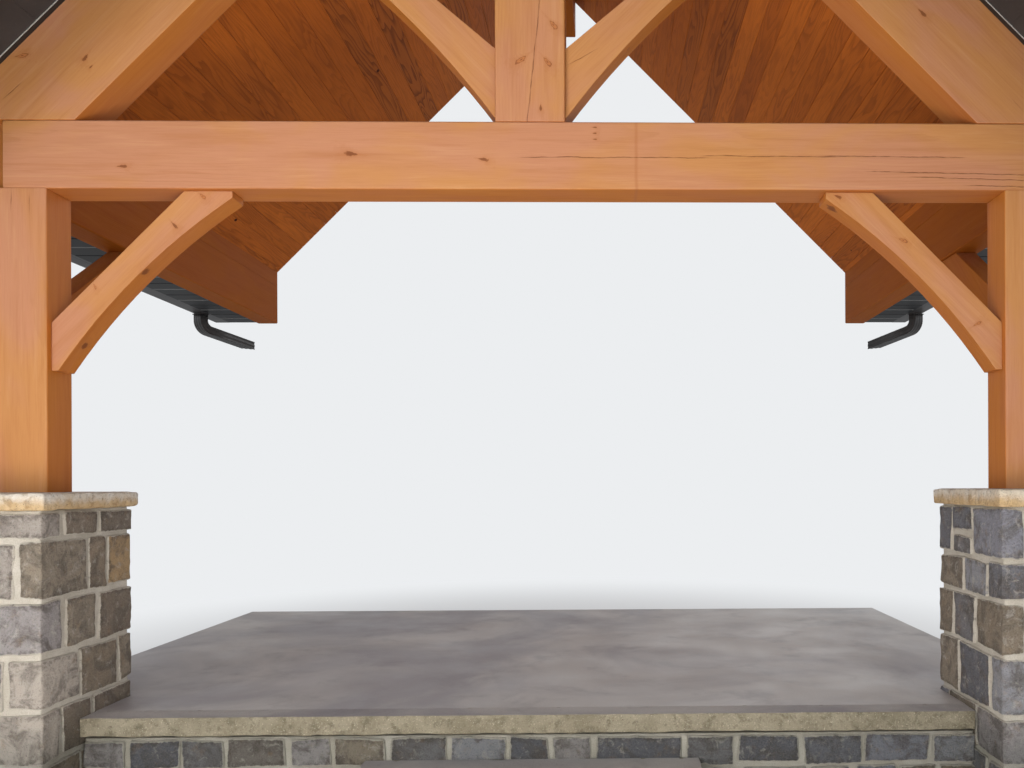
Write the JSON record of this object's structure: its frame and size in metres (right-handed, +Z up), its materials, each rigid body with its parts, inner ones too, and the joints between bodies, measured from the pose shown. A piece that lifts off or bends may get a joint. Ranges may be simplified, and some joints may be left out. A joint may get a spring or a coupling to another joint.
{
  "type": "gabled timber entrance porch",
  "caption": "Gabled timber-framed entrance porch with king post frame, curved braces, stone piers, raised floor and shingled roof, ending at the house wall.",
  "frame": {"origin": "centre line of the porch at ground level, in the plane of the house wall that it is built against", "axes": "+X to the right seen from the garden, +Y towards the house, +Z up"},
  "size_m": [5.776, 3.5505, 5.7537],
  "materials": {
    "timber": "orange-tan stained sawn pine, satin",
    "ceiling_boards": "stained tongue and groove boards, satin",
    "roof_boards": "raw sheathing",
    "stone_veneer": "split-faced stone in light mortar",
    "cast_stone": "rough cast stone",
    "concrete": "trowelled concrete",
    "packed_fill": "packed gravel fill",
    "shingle": "granule-faced asphalt shingle",
    "dark_metal": "dark bronze paint, satin"
  },
  "bodies": {
    "root": {"foundation_walls": "stone_veneer", "platform_fill": "packed_fill", "porch_slab": "concrete", "slab_nosing": "cast_stone", "entry_step": "stone_veneer", "pier_left": "stone_veneer", "pier_right": "stone_veneer", "pier_cap_left": "cast_stone", "pier_cap_right": "cast_stone", "post_left": "timber", "post_right": "timber", "tie_beam": "timber", "side_beam_left": "timber", "side_beam_right": "timber", "friezes": "timber", "king_post": "timber", "king_strut_left": "timber", "king_strut_right": "timber", "rafter_left": "timber", "rafter_right": "timber", "knee_brace_left": "timber", "knee_brace_right": "timber", "side_brace_left": "timber", "side_brace_right": "timber", "ridge_beam": "timber", "ceiling_left": "ceiling_boards", "ceiling_right": "ceiling_boards", "roof_deck_left": "roof_boards", "roof_deck_right": "roof_boards", "shingles_left": "shingle", "shingles_right": "shingle", "ridge_cap": "shingle", "rake_soffit_left": "dark_metal", "rake_soffit_right": "dark_metal", "rake_board_left": "dark_metal", "rake_board_right": "dark_metal", "fascia_left": "dark_metal", "fascia_right": "dark_metal", "eave_soffit_left": "dark_metal", "eave_soffit_right": "dark_metal", "gutter_left": "dark_metal", "gutter_right": "dark_metal", "downspout_left": "dark_metal", "downspout_right": "dark_metal"}
  },
  "joints": []
}
